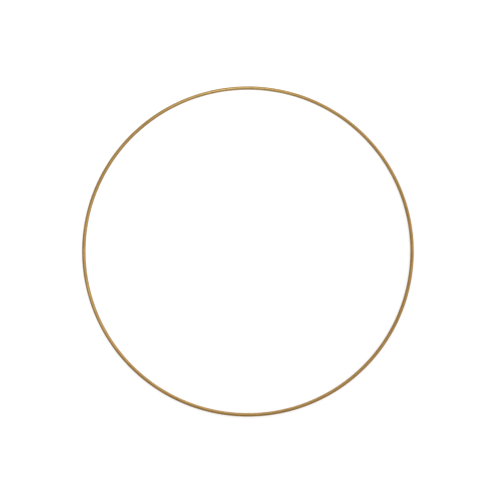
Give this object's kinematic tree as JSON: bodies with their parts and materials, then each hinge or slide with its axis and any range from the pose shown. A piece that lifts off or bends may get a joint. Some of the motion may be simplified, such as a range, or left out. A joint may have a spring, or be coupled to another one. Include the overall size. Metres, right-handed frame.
{
  "type": "wreath frame",
  "caption": "Round hoop of thin steel wire, butt-welded closed and finished in satin gold, that a wreath is bound on or that hangs as a bare ring.",
  "frame": {"origin": "the centre of the hoop, on the centreline plane of its wire", "axes": "+Z along the hoop's axis, up off the face it lies on; +Y towards the side it hangs from; +X to the right, seen from +Z"},
  "size_m": [0.3, 0.3, 0.0032],
  "materials": {
    "gold_finish": "satin",
    "bare_steel": "satin",
    "weld_metal": "matte"
  },
  "bodies": {
    "root": {"gold_coat": "gold_finish", "steel_wire": "bare_steel", "butt_weld": "weld_metal"}
  },
  "joints": []
}
